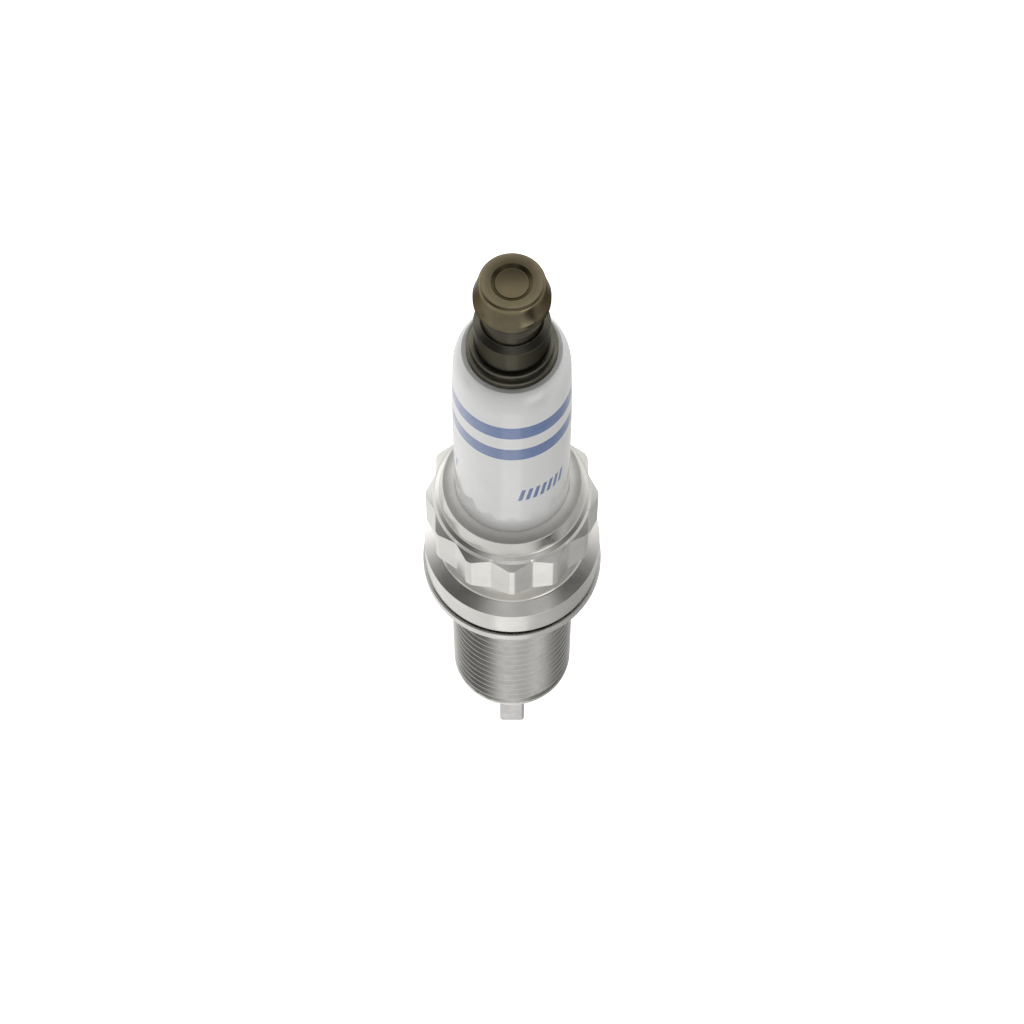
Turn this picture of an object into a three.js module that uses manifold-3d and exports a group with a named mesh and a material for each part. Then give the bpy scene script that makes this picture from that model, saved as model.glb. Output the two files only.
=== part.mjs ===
// Spark plug with an M12x1.25 thread, a 14 mm 12-point drive and a bullet terminal.
// Millimetres. +Z points to the terminal. The origin is on the axis, at the gasket's sealing face.
import * as THREE from "three";
import { mergeVertices } from "three/addons/utils/BufferGeometryUtils.js";
import Module from "manifold-3d";

const wasm = await Module();
wasm.setup();

// ---- Fineness ----
const ROUND = 24; // steps round every turned surface, the same for all, so nested walls stay parallel
const SHELL_THREAD_STEPS = 20; // steps in one turn of the shell's thread
const STUD_THREAD_STEPS = 10; // steps in one turn of the stud's thread
const ARC_STEPS = 3; // straight steps in a small rounding
const FIT = 0.03; // radial play between pieces that touch on the real plug
const EDGE = 0.12; // small chamfer on a turned edge
const BEVEL = 0.2; // larger chamfer, at the mouth of a bore or the end of a run-out
const PAST = 0.5; // how far a cutting body runs past the face that it cuts

// ---- Metric thread form, in shares of the pitch ----
const THREAD_DEPTH = 0.6134;
const THREAD_FLANK = 0.3125; // height of one flank
const THREAD_CREST = 0.125; // height of the flat crest

// ---- Terminal nut ----
const NUT_BOTTOM = 44.0;
const NUT_TOP = 53.5;
const COLLAR_R = 3.2;
const COLLAR_TOP = 47.0;
const NECK_R = 2.65;
const NECK_BOTTOM = 47.5;
const NECK_TOP = 48.8;
const GROOVE_R = 2.45;
const HEAD_R = 3.2;
const HEAD_BOTTOM = 50.7;
const HEAD_SHOULDER = 51.3; // where the head starts to narrow to the crown
const CROWN_R = 2.78;
const CROWN_Z = 53.1;
const RIM_R = 2.45;
const TOP_HOLE_R = 1.5;
const TOP_HOLE_BEVEL = 0.2;
const NUT_BORE_R = 2.05;
const NUT_BORE_TOP = 52.2;
const NUT_BORE_CONE = 0.25;
const TOP_HOLE_DEPTH = 0.9;
const GROOVE_BOTTOM = 49.1;
const GROOVE_TOP = 49.95;
const HEAD_PULL = [2.95, 52.1]; // the side of the head is drawn towards this point
const RIM_PULL = [2.72, 53.5]; // and its crown towards this one

// ---- Terminal stud ----
const STUD_R = 1.94;
const STUD_THREAD_R = 1.95;
const STUD_THREAD_PITCH = 0.7;
const STUD_THREAD_TOP = 52.0;
const STUD_THREAD_CHAMFER = 0.4;
const STUD_END_R = 1.38;
const STUD_END_EDGE = 0.05;
const STUD_END_Z = 53.25;
const STUD_DIMPLE = 0.4; // depth of the centre mark in the stud's end
const UPPER_RING_R = 3.55;
const UPPER_RING_TOP = 43.95;
const LOWER_RING_R = 3.88;
const LOWER_RING_TOP = 43.2;
const RIB_R = 1.65;
const RIB_PITCH = 1.0;
const RIB_COUNT = 4;
const RIB_DEPTH = 0.2;
const RIB_RISE = 0.3 * RIB_PITCH;
const STUD_BOTTOM = 23.0;

// ---- Insulator ----
const INSULATOR_TOP = 42.4;
const INSULATOR_TOP_R = 4.25;
const SHOULDER_Z = 39.6; // where the rounded top meets the long taper
const SHOULDER_R = 5.03;
const SHOULDER_PULL = [4.93, 41.8]; // the curve of the rounded top is drawn towards this point
const COLUMN_R = 5.2;
const TAPER_END = 30.4;
const BARREL_R = 6.2; // largest radius, held down by the crimp lip
const BARREL_SHOULDER = 16.9; // the cone under the lip, from the column out to the barrel
const BARREL_TOP = 15.9;
const BARREL_BOTTOM = 11.6;
const TRUNK_R = 5.8;
const TRUNK_TOP = 10.4;
const TRUNK_BOTTOM = 5.3;
const LOWER_R = 4.1;
const LOWER_TOP = 3.9;
const NOSE_TOP_R = 3.3;
const NOSE_END_R = 2.15;
const NOSE_END = -24.6;
const NOSE_ROUND = 0.35;
const NOSE_STEP = 0.4; // how far the nose and the firing bore start below the ledge
const STUD_BORE_R = 2.0;
const ROD_BORE_R = 1.32;
const HEAD_CONE = 0.6;
const HEAD_SEAT = 2.6; // upper edge of the cone in the bore that carries the centre electrode

// ---- Shell ----
const LIP_TOP_Z = 17.77; // where the folded lip touches the insulator's column
const LIP_EDGE_R = 6.31;
const LIP_EDGE_Z = 17.5;
const LIP_EDGE_CHAMFER = 0.08;
const LIP_BEAD_R = 6.7; // foot of the lip's steep face, where the bead under it starts
const LIP_BEAD_Z = 15.65;
const LIP_BASE_R = 7.06;
const LIP_BASE_Z = 15.46;
const DRIVE_ACROSS_FLATS = 14;
const DRIVE_POINTS = 12;
const DRIVE_CORNER_R = 7.94; // corners turned down from the full point
const DRIVE_COLLAR_R = 7.24; // inner edge of the upper chamfer, just inside the notches
const DRIVE_TOP = 15.16; // height of the drive at that edge
const DRIVE_BOTTOM = 9.36; // where the lower chamfer meets the waist
const UPPER_CHAMFER = THREE.MathUtils.degToRad(25);
const LOWER_CHAMFER = THREE.MathUtils.degToRad(35);
const WAIST_R = 7.0;
const FLANGE_R = 8.29;
const FLANGE_CONE_TOP = 6.45;
const FLANGE_CONE_BOTTOM = 5.6;
const FLANGE_BOTTOM = 2.05;
const RELIEF_R = 5.3; // neck between flange and thread, where the gasket sits
const THREAD_TOP = -0.15;
const THREAD_RUN_OUT = 0.7;
const SHELL_END = -22.25;
const END_LAND_R = 5.93; // plain band under the last turn of the thread
const END_LAND_TOP = -21.7;
const END_CHAMFER = 0.12;
const THREAD_R = 5.94;
const THREAD_PITCH = 1.25;
const THREAD_BORE_R = 4.14;
const LEDGE_Z = -7.4; // outer edge of the conical ledge that carries the insulator
const LEDGE_R = 3.55;
const LEDGE_SLOPE = Math.tan(THREE.MathUtils.degToRad(30));
const LEDGE_HEIGHT = 1.6;
const FIRING_BORE_R = 3.9;
const WASHER_THICKNESS = 0.4;

// ---- Gasket ----
const GASKET_R = 8.51;
const GASKET_INNER_R = 5.75;
const GASKET_THICKNESS = 1.68;
const GASKET_TAPER = 0.5; // width of the cone inside, down to the thin inner edge
const GASKET_INNER_HALF = 0.25; // half the height of that edge
const GASKET_TOP_EDGE = 0.08; // rounding of the upper outer edge; the lower half is fully round

// ---- Parts in the insulator's bore ----
const RESISTOR_TOP = 20.5;
const RESISTOR_BOTTOM = 9.5;
const SEAL_TOP = 27.0;
const ROD_R = 1.25;
const ROD_SHOULDER = -25.3; // where the rod starts to taper to its tip
const ROD_END = -26.3;
const ROD_END_R = 0.5;
const ROD_HEAD_TOP = 3.4;
const ROD_BOSS_R = 1.3;
const ROD_BOSS_TOP = 4.6;
const CORE_R = 0.82;
const CORE_BOTTOM = -21.0;
const CORE_POINT = 0.55; // depth of the drilled cone at its end
const PIN_R = 0.3;
const PIN_END = -27.0;
const PIN_EDGE = 0.04;
const PIN_SOCKET_TOP = -25.85;

// ---- Ground electrode ----
const STRAP_WIDTH = 2.5;
const STRAP_THICKNESS = 1.3;
const STRAP_LEG_Y = -4.55; // middle of the leg, on the side away from +Y
const STRAP_LOWEST = -29.75;
const STRAP_BEND_R = 1.4; // bend radius at the middle of the strap
const STRAP_TIP_Y = 1.0;
const STRAP_EDGE = 0.25;
const STRAP_CORE_WIDTH = 1.1;
const STRAP_CORE_THICKNESS = 0.5;
const STRAP_CORE_TIP_Y = -1.6;
const DISC_R = 0.5;
const SPARK_GAP = 0.8;

// ---------------------------------------------------------------- solids

// A closed geometry as a solid: positions only, with shared vertices merged.
function solid(geometry) {
  const bare = geometry.index ? geometry.toNonIndexed() : geometry.clone();
  bare.deleteAttribute("normal");
  bare.deleteAttribute("uv");
  const merged = mergeVertices(bare, 1e-3);
  const mesh = new wasm.Mesh({
    numProp: 3,
    vertProperties: merged.attributes.position.array,
    triVerts: new Uint32Array(merged.index.array),
  });
  return new wasm.Manifold(mesh);
}

// A solid as a geometry with flat-shaded normals.
function geometryOf(body) {
  const mesh = body.getMesh();
  const indexed = new THREE.BufferGeometry();
  indexed.setAttribute("position", new THREE.BufferAttribute(mesh.vertProperties, 3));
  indexed.setIndex(new THREE.BufferAttribute(mesh.triVerts, 1));
  const flat = indexed.toNonIndexed();
  flat.computeVertexNormals();
  return flat;
}

// A turned geometry. The outline's [radius, z] points run up the outside and down the inside,
// and start and end on the axis or close on themselves.
function turned(outline) {
  const points = outline.map(([r, z]) => new THREE.Vector2(r, z));
  return new THREE.LatheGeometry(points, ROUND).rotateX(Math.PI / 2);
}

// Points on an arc about [r, z], from one angle to another in degrees.
function arc(r, z, radius, from, to, steps = ARC_STEPS) {
  const points = [];
  for (let i = 0; i <= steps; i += 1) {
    const angle = THREE.MathUtils.degToRad(from + ((to - from) * i) / steps);
    points.push([r + radius * Math.cos(angle), z + radius * Math.sin(angle)]);
  }
  return points;
}

// Points on a quadratic curve from one [r, z] point to another, pulled towards a third.
function bow(start, pull, end, steps = ARC_STEPS + 1) {
  const curve = new THREE.QuadraticBezierCurve(
    new THREE.Vector2(...start),
    new THREE.Vector2(...pull),
    new THREE.Vector2(...end),
  );
  return curve.getPoints(steps).map((p) => [p.x, p.y]);
}

// A solid rod with a right-hand 60 degree thread, running past both ends of its useful length.
// One ridge is four points: root, crest, crest, root. Each step round lifts them by a share of
// the pitch, so the last column of a turn is the first column moved up by one ridge.
function threadedRod(crestR, pitch, bottom, top, steps) {
  const rootR = crestR - THREAD_DEPTH * pitch;
  const ridge = [
    [rootR, 0],
    [crestR, THREAD_FLANK * pitch],
    [crestR, (THREAD_FLANK + THREAD_CREST) * pitch],
    [rootR, (2 * THREAD_FLANK + THREAD_CREST) * pitch],
  ];
  const turns = Math.ceil((top - bottom) / pitch) + 2;
  const rows = turns * ridge.length;
  const vertices = [];
  const column = (step) => step * (rows + 1);
  for (let step = 0; step < steps; step += 1) {
    const angle = (2 * Math.PI * step) / steps;
    for (let row = 0; row <= rows; row += 1) {
      const [r, rise] = ridge[row % ridge.length];
      const z = bottom + pitch * (Math.floor(row / ridge.length) - 2 + step / steps) + rise;
      vertices.push(r * Math.cos(angle), r * Math.sin(angle), z);
    }
  }
  const seam = vertices.length / 3;
  for (let extra = 1; extra <= ridge.length; extra += 1) {
    const row = rows + extra;
    const [r, rise] = ridge[row % ridge.length];
    vertices.push(r, 0, bottom + pitch * (Math.floor(row / ridge.length) - 2) + rise);
  }
  const at = (step, row) => {
    if (step < steps) return column(step) + row;
    const moved = row + ridge.length;
    return moved <= rows ? moved : seam + moved - rows - 1;
  };
  const faces = [];
  for (let step = 0; step < steps; step += 1) {
    for (let row = 0; row < rows; row += 1) {
      const [low, next] = [at(step, row), at(step + 1, row)];
      const [high, nextHigh] = [at(step, row + 1), at(step + 1, row + 1)];
      faces.push(low, next, nextHigh, low, nextHigh, high);
    }
  }
  const lowCentre = vertices.length / 3;
  vertices.push(0, 0, bottom - 1.5 * pitch);
  const highCentre = lowCentre + 1;
  vertices.push(0, 0, bottom + (turns - 1.5) * pitch);
  for (let step = 0; step < steps; step += 1) {
    faces.push(lowCentre, at(step + 1, 0), at(step, 0));
    faces.push(highCentre, at(step, rows), at(step + 1, rows));
  }
  for (let row = 0; row < ridge.length; row += 1) {
    faces.push(lowCentre, row, row + 1);
    const upper = (i) => (i === 0 ? at(0, rows) : seam + i - 1);
    faces.push(highCentre, upper(row + 1), upper(row));
  }
  const geometry = new THREE.BufferGeometry();
  geometry.setAttribute("position", new THREE.Float32BufferAttribute(vertices, 3));
  geometry.setIndex(faces);
  return solid(geometry);
}

// ---------------------------------------------------------------- materials

function metal(color, roughness) {
  return new THREE.MeshStandardMaterial({ color, roughness, metalness: 1 });
}

function mineral(color, roughness) {
  return new THREE.MeshStandardMaterial({ color, roughness, metalness: 0 });
}

const olivePlate = metal(0x6b6448, 0.35);
const greyPlate = metal(0x46433a, 0.35);
const glazedCeramic = mineral(0xe6e7e8, 0.12);
const satinNickel = metal(0xc9c7c0, 0.28);
const nickelAlloy = metal(0xb9b5ae, 0.4);
const copper = metal(0xb87048, 0.35);
const nobleMetal = metal(0xd9d9d6, 0.25);
const sealGlass = mineral(0x3d3a36, 0.4);
const carbonGlass = mineral(0x1c1b1a, 0.6);
const softSteel = metal(0x8d8c88, 0.45);

const plug = new THREE.Group();

function add(name, geometry, material) {
  const mesh = new THREE.Mesh(geometry, material);
  mesh.name = name;
  plug.add(mesh);
}

// ---------------------------------------------------------------- terminal

// Bullet head over a waisted neck and a collar. The bore is the thread's clearance size, and a
// smaller hole in the crown shows the stud's end.
function terminalNut() {
  return turned([
    [NUT_BORE_R + BEVEL, NUT_BOTTOM],
    [COLLAR_R - EDGE, NUT_BOTTOM],
    [COLLAR_R, NUT_BOTTOM + EDGE],
    [COLLAR_R, COLLAR_TOP - EDGE],
    [COLLAR_R - EDGE, COLLAR_TOP],
    [NECK_R, NECK_BOTTOM],
    [NECK_R, NECK_TOP],
    [GROOVE_R, GROOVE_BOTTOM],
    [GROOVE_R, GROOVE_TOP],
    [HEAD_R - EDGE, HEAD_BOTTOM - EDGE],
    [HEAD_R, HEAD_BOTTOM],
    ...bow([HEAD_R, HEAD_SHOULDER], HEAD_PULL, [CROWN_R, CROWN_Z], 3),
    ...bow([CROWN_R, CROWN_Z], RIM_PULL, [RIM_R, NUT_TOP], 4).slice(1),
    [TOP_HOLE_R + TOP_HOLE_BEVEL, NUT_TOP],
    [TOP_HOLE_R, NUT_TOP - TOP_HOLE_DEPTH],
    [TOP_HOLE_R, NUT_BORE_TOP + NUT_BORE_CONE],
    [NUT_BORE_R, NUT_BORE_TOP],
    [NUT_BORE_R, NUT_BOTTOM + BEVEL],
    [NUT_BORE_R + BEVEL, NUT_BOTTOM],
  ]);
}

// Shank with a ribbed end for the glass, two flange rings on the ceramic, a thread and a pilot end.
function terminalStud() {
  const ribs = [];
  for (let i = 0; i < RIB_COUNT; i += 1) {
    const z = STUD_BOTTOM + RIB_DEPTH + i * RIB_PITCH;
    ribs.push([RIB_R - RIB_DEPTH, z], [RIB_R, z + RIB_RISE], [RIB_R, z + RIB_PITCH - RIB_RISE]);
  }
  const shank = turned([
    [0, STUD_BOTTOM],
    [RIB_R - 2 * RIB_DEPTH, STUD_BOTTOM],
    ...ribs,
    [RIB_R - RIB_DEPTH, SEAL_TOP + RIB_DEPTH],
    [STUD_R, SEAL_TOP + 2 * RIB_DEPTH],
    [STUD_R, INSULATOR_TOP],
    [LOWER_RING_R - EDGE, INSULATOR_TOP],
    [LOWER_RING_R, INSULATOR_TOP + EDGE],
    [LOWER_RING_R, LOWER_RING_TOP - EDGE],
    [LOWER_RING_R - EDGE, LOWER_RING_TOP],
    [UPPER_RING_R - EDGE, LOWER_RING_TOP],
    [UPPER_RING_R - EDGE, LOWER_RING_TOP + EDGE],
    [UPPER_RING_R, LOWER_RING_TOP + 2 * EDGE],
    [UPPER_RING_R, UPPER_RING_TOP - EDGE],
    [UPPER_RING_R - EDGE, UPPER_RING_TOP],
    [STUD_END_R, UPPER_RING_TOP],
    [STUD_END_R, STUD_END_Z - STUD_END_EDGE],
    [STUD_END_R - STUD_END_EDGE, STUD_END_Z],
    [0, STUD_END_Z - STUD_DIMPLE],
  ]);
  const clearR = STUD_THREAD_R + PAST;
  const trim = turned([
    [0, UPPER_RING_TOP - PAST],
    [clearR, UPPER_RING_TOP - PAST],
    [clearR, STUD_THREAD_TOP - PAST - STUD_THREAD_CHAMFER],
    [STUD_THREAD_R - STUD_THREAD_CHAMFER, STUD_THREAD_TOP],
    [0, STUD_THREAD_TOP],
  ]);
  const rod = threadedRod(
    STUD_THREAD_R,
    STUD_THREAD_PITCH,
    UPPER_RING_TOP - PAST,
    STUD_THREAD_TOP,
    STUD_THREAD_STEPS,
  );
  return geometryOf(solid(shank).add(rod.intersect(solid(trim))));
}

// ---------------------------------------------------------------- insulator

// Height of the shell's conical ledge at a radius; the washer and the insulator's seat follow it.
function ledge(r) {
  return LEDGE_Z - (THREAD_BORE_R - r) * LEDGE_SLOPE;
}

// Column, barrel under the lip, trunk, seat and firing nose, with one stepped bore.
function insulator() {
  const seatLift = WASHER_THICKNESS + 2 * FIT;
  return turned([
    [ROD_BORE_R, NOSE_END + EDGE],
    [ROD_BORE_R + EDGE, NOSE_END],
    ...arc(NOSE_END_R - NOSE_ROUND, NOSE_END + NOSE_ROUND, NOSE_ROUND, -90, 0, 3),
    [NOSE_TOP_R, ledge(LEDGE_R) - LEDGE_HEIGHT - NOSE_STEP],
    [NOSE_TOP_R, ledge(NOSE_TOP_R) + seatLift],
    [LOWER_R, ledge(LOWER_R) + seatLift],
    [LOWER_R, LOWER_TOP],
    [TRUNK_R, TRUNK_BOTTOM],
    [TRUNK_R, TRUNK_TOP],
    [BARREL_R, BARREL_BOTTOM],
    [BARREL_R, BARREL_TOP],
    [COLUMN_R, BARREL_SHOULDER],
    [COLUMN_R, TAPER_END],
    ...bow([SHOULDER_R, SHOULDER_Z], SHOULDER_PULL, [INSULATOR_TOP_R, INSULATOR_TOP], 6),
    [STUD_BORE_R + BEVEL, INSULATOR_TOP],
    [STUD_BORE_R, INSULATOR_TOP - BEVEL],
    [STUD_BORE_R, HEAD_SEAT],
    [ROD_BORE_R, HEAD_SEAT - HEAD_CONE],
    [ROD_BORE_R, NOSE_END + EDGE],
  ]);
}

// ---------------------------------------------------------------- shell

// Two hexagons turned by half a step: a star whose points and notches alternate.
function driveStar() {
  const flat = DRIVE_ACROSS_FLATS / 2;
  const pointR = flat / Math.cos(Math.PI / 6);
  const notchR = flat / Math.cos(Math.PI / 12);
  const star = new THREE.Shape();
  for (let i = 0; i < 2 * DRIVE_POINTS; i += 1) {
    const angle = (Math.PI * i) / DRIVE_POINTS;
    const r = i % 2 === 0 ? pointR : notchR;
    const move = i === 0 ? "moveTo" : "lineTo";
    star[move](r * Math.cos(angle), r * Math.sin(angle));
  }
  star.closePath();
  const height = DRIVE_TOP - DRIVE_BOTTOM + 2 * PAST;
  const geometry = new THREE.ExtrudeGeometry(star, { depth: height, bevelEnabled: false });
  return solid(geometry.translate(0, 0, DRIVE_BOTTOM - PAST));
}

// The turned blank of the drive: both chamfers and the turned-down points.
function driveBlank() {
  const topDrop = (DRIVE_CORNER_R - DRIVE_COLLAR_R) * Math.tan(UPPER_CHAMFER);
  const bottomRise = (DRIVE_CORNER_R - WAIST_R) * Math.tan(LOWER_CHAMFER);
  return solid(
    turned([
      [0, DRIVE_BOTTOM],
      [WAIST_R, DRIVE_BOTTOM],
      [DRIVE_CORNER_R, DRIVE_BOTTOM + bottomRise],
      [DRIVE_CORNER_R, DRIVE_TOP - topDrop],
      [DRIVE_COLLAR_R, DRIVE_TOP],
      [0, DRIVE_TOP],
    ]),
  );
}

// The thread, trimmed to a run-out under the relief neck, with a plain chamfered band at its end.
function shellThread() {
  const clearR = THREAD_R + PAST;
  const trim = turned([
    [0, SHELL_END],
    [END_LAND_R - END_CHAMFER, SHELL_END],
    [clearR, SHELL_END + END_CHAMFER + clearR - END_LAND_R],
    [clearR, THREAD_TOP - THREAD_RUN_OUT],
    [RELIEF_R - EDGE, THREAD_TOP],
    [0, THREAD_TOP],
  ]);
  const rod = threadedRod(THREAD_R, THREAD_PITCH, SHELL_END, THREAD_TOP, SHELL_THREAD_STEPS);
  const land = turned([
    [0, SHELL_END],
    [END_LAND_R - END_CHAMFER, SHELL_END],
    [END_LAND_R, SHELL_END + END_CHAMFER],
    [END_LAND_R, END_LAND_TOP],
    [RELIEF_R, END_LAND_TOP + END_LAND_R - RELIEF_R],
    [0, END_LAND_TOP + END_LAND_R - RELIEF_R],
  ]);
  return rod.intersect(solid(trim)).add(solid(land));
}

// Lip, waist, flange and relief neck as one solid turning.
function shellTurning() {
  return solid(
    turned([
      [0, THREAD_TOP - PAST],
      [RELIEF_R - BEVEL, THREAD_TOP - PAST],
      [RELIEF_R, THREAD_TOP],
      [RELIEF_R, FLANGE_BOTTOM - BEVEL],
      [RELIEF_R + BEVEL, FLANGE_BOTTOM],
      [FLANGE_R - EDGE, FLANGE_BOTTOM],
      [FLANGE_R, FLANGE_BOTTOM + EDGE],
      [FLANGE_R, FLANGE_CONE_BOTTOM],
      [WAIST_R + BEVEL, FLANGE_CONE_TOP - EDGE],
      [WAIST_R, FLANGE_CONE_TOP + BEVEL],
      [WAIST_R, DRIVE_TOP - 2 * EDGE],
      [DRIVE_COLLAR_R, DRIVE_TOP - EDGE],
      [DRIVE_COLLAR_R, DRIVE_TOP],
      [LIP_BASE_R, LIP_BASE_Z],
      [LIP_BEAD_R, LIP_BEAD_Z],
      [LIP_EDGE_R + LIP_EDGE_CHAMFER, LIP_EDGE_Z - LIP_EDGE_CHAMFER],
      [LIP_EDGE_R, LIP_EDGE_Z],
      [COLUMN_R, LIP_TOP_Z],
      [0, LIP_TOP_Z],
    ]),
  );
}

// The bore: lip mouth, barrel chamber, trunk chamber, ledge and firing end.
function shellBore() {
  const chamberR = BARREL_R + FIT;
  const trunkR = TRUNK_R + FIT;
  return solid(
    turned([
      [0, SHELL_END - PAST],
      [FIRING_BORE_R, SHELL_END - PAST],
      [FIRING_BORE_R, ledge(LEDGE_R) - LEDGE_HEIGHT - NOSE_STEP],
      [LEDGE_R, ledge(LEDGE_R) - LEDGE_HEIGHT],
      [LEDGE_R, ledge(LEDGE_R)],
      [THREAD_BORE_R, LEDGE_Z],
      [THREAD_BORE_R, LOWER_TOP - FIT],
      [trunkR, TRUNK_BOTTOM - FIT],
      [trunkR, TRUNK_TOP - FIT],
      [chamberR, BARREL_BOTTOM - FIT],
      [chamberR, BARREL_TOP + FIT],
      [COLUMN_R + FIT, BARREL_SHOULDER + FIT],
      [COLUMN_R + FIT, LIP_TOP_Z + PAST],
      [0, LIP_TOP_Z + PAST],
    ]),
  );
}

function shell() {
  const drive = driveStar().intersect(driveBlank());
  const outside = shellTurning().add(drive).add(shellThread());
  return geometryOf(outside.subtract(shellBore()));
}

// Conical packing washer on the ledge.
function seatWasher() {
  const inner = LEDGE_R + FIT;
  const outer = THREAD_BORE_R - FIT;
  return turned([
    [inner, ledge(inner) + FIT],
    [outer, ledge(outer) + FIT],
    [outer, ledge(outer) + FIT + WASHER_THICKNESS],
    [inner, ledge(inner) + FIT + WASHER_THICKNESS],
    [inner, ledge(inner) + FIT],
  ]);
}

// Folded ring with a round lower edge, and an inner edge too narrow to pass over the thread.
function sealingGasket() {
  const edge = GASKET_THICKNESS / 2;
  return turned([
    [GASKET_INNER_R, edge - GASKET_INNER_HALF],
    [GASKET_INNER_R + GASKET_TAPER, 0],
    ...arc(GASKET_R - edge, edge, edge, -90, 0, 3),
    ...arc(GASKET_R - GASKET_TOP_EDGE, GASKET_THICKNESS - GASKET_TOP_EDGE, GASKET_TOP_EDGE, 0, 90, 2),
    [GASKET_INNER_R + GASKET_TAPER, GASKET_THICKNESS],
    [GASKET_INNER_R, edge + GASKET_INNER_HALF],
    [GASKET_INNER_R, edge - GASKET_INNER_HALF],
  ]);
}

// ---------------------------------------------------------------- parts in the bore

// Conductive glass that grips the stud's ribs.
function upperGlassSeal() {
  const outer = STUD_BORE_R - FIT / 2;
  const inner = RIB_R + FIT;
  return turned([
    [0, RESISTOR_TOP],
    [outer, RESISTOR_TOP],
    [outer, SEAL_TOP],
    [inner, SEAL_TOP],
    [inner, STUD_BOTTOM - FIT],
    [0, STUD_BOTTOM - FIT],
  ]);
}

function resistor() {
  const outer = STUD_BORE_R - FIT / 2;
  return turned([
    [0, RESISTOR_BOTTOM],
    [outer, RESISTOR_BOTTOM],
    [outer, RESISTOR_TOP],
    [0, RESISTOR_TOP],
  ]);
}

// Conductive glass over the centre electrode's head.
function lowerGlassSeal() {
  const outer = STUD_BORE_R - FIT / 2;
  const inner = ROD_BOSS_R + FIT;
  return turned([
    [0, ROD_BOSS_TOP + FIT],
    [inner, ROD_BOSS_TOP + FIT],
    [inner, ROD_HEAD_TOP + FIT],
    [outer, ROD_HEAD_TOP + FIT],
    [outer, RESISTOR_BOTTOM],
    [0, RESISTOR_BOTTOM],
  ]);
}

// Nickel sheath: tapered tip with a pin socket, rod, seating head and an open top for the core.
function centreElectrode() {
  return turned([
    [0, PIN_SOCKET_TOP],
    [PIN_R + FIT, PIN_SOCKET_TOP],
    [PIN_R + FIT, ROD_END],
    [ROD_END_R, ROD_END],
    [ROD_R, ROD_SHOULDER],
    [ROD_R, HEAD_SEAT - HEAD_CONE + FIT],
    [STUD_BORE_R - 2 * FIT, HEAD_SEAT + 2 * FIT],
    [STUD_BORE_R - 2 * FIT, ROD_HEAD_TOP],
    [ROD_BOSS_R, ROD_HEAD_TOP],
    [ROD_BOSS_R, ROD_BOSS_TOP],
    [CORE_R + FIT, ROD_BOSS_TOP],
    [CORE_R + FIT, CORE_BOTTOM],
    [0, CORE_BOTTOM - CORE_POINT - FIT],
  ]);
}

function centreElectrodeCore() {
  return turned([
    [0, CORE_BOTTOM - CORE_POINT],
    [CORE_R, CORE_BOTTOM + FIT],
    [CORE_R, ROD_BOSS_TOP],
    [0, ROD_BOSS_TOP],
  ]);
}

function centreTip() {
  return turned([
    [0, PIN_END],
    [PIN_R - PIN_EDGE, PIN_END],
    [PIN_R, PIN_END + PIN_EDGE],
    [PIN_R, PIN_SOCKET_TOP - FIT],
    [0, PIN_SOCKET_TOP - FIT],
  ]);
}

// ---------------------------------------------------------------- ground electrode

// Outline of the strap in the Y-Z plane: a leg from the shell's end face, a bend and a foot.
function strapOutline(thickness, tipY) {
  const half = thickness / 2;
  const bendY = STRAP_LEG_Y + STRAP_BEND_R;
  const footZ = STRAP_LOWEST + STRAP_THICKNESS / 2;
  const bendZ = footZ + STRAP_BEND_R;
  const outline = new THREE.Shape();
  outline.moveTo(STRAP_LEG_Y - half, SHELL_END);
  outline.lineTo(STRAP_LEG_Y - half, bendZ);
  outline.absarc(bendY, bendZ, STRAP_BEND_R + half, Math.PI, 1.5 * Math.PI, false);
  outline.lineTo(tipY, footZ - half);
  outline.lineTo(tipY, footZ + half);
  outline.lineTo(bendY, footZ + half);
  outline.absarc(bendY, bendZ, STRAP_BEND_R - half, 1.5 * Math.PI, Math.PI, true);
  outline.lineTo(STRAP_LEG_Y + half, SHELL_END);
  outline.closePath();
  return outline;
}

// A strap outline given its width along X, with its edges rounded by the given radius.
function strapSolid(thickness, tipY, width, edge) {
  const geometry = new THREE.ExtrudeGeometry(strapOutline(thickness, tipY), {
    depth: width - 2 * edge,
    curveSegments: 8,
    bevelEnabled: edge > 0,
    bevelThickness: edge,
    bevelSize: edge,
    bevelOffset: -edge,
    bevelSegments: 2,
  });
  geometry.translate(0, 0, edge - width / 2);
  const across = new THREE.Vector3(1, 0, 0);
  const along = new THREE.Vector3(0, 1, 0);
  const up = new THREE.Vector3(0, 0, 1);
  return solid(geometry.applyMatrix4(new THREE.Matrix4().makeBasis(along, up, across)));
}

function groundElectrode() {
  const strap = strapSolid(STRAP_THICKNESS, STRAP_TIP_Y, STRAP_WIDTH, STRAP_EDGE);
  const pocket = strapSolid(
    STRAP_CORE_THICKNESS + 2 * FIT,
    STRAP_CORE_TIP_Y + FIT,
    STRAP_CORE_WIDTH + 2 * FIT,
    0,
  );
  return geometryOf(strap.subtract(pocket));
}

function groundElectrodeCore() {
  return geometryOf(strapSolid(STRAP_CORE_THICKNESS, STRAP_CORE_TIP_Y, STRAP_CORE_WIDTH, 0));
}

function groundTip() {
  const foot = STRAP_LOWEST + STRAP_THICKNESS;
  return turned([
    [0, foot],
    [DISC_R, foot],
    [DISC_R, PIN_END - SPARK_GAP],
    [0, PIN_END - SPARK_GAP],
  ]);
}

// ---------------------------------------------------------------- assembly

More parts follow.
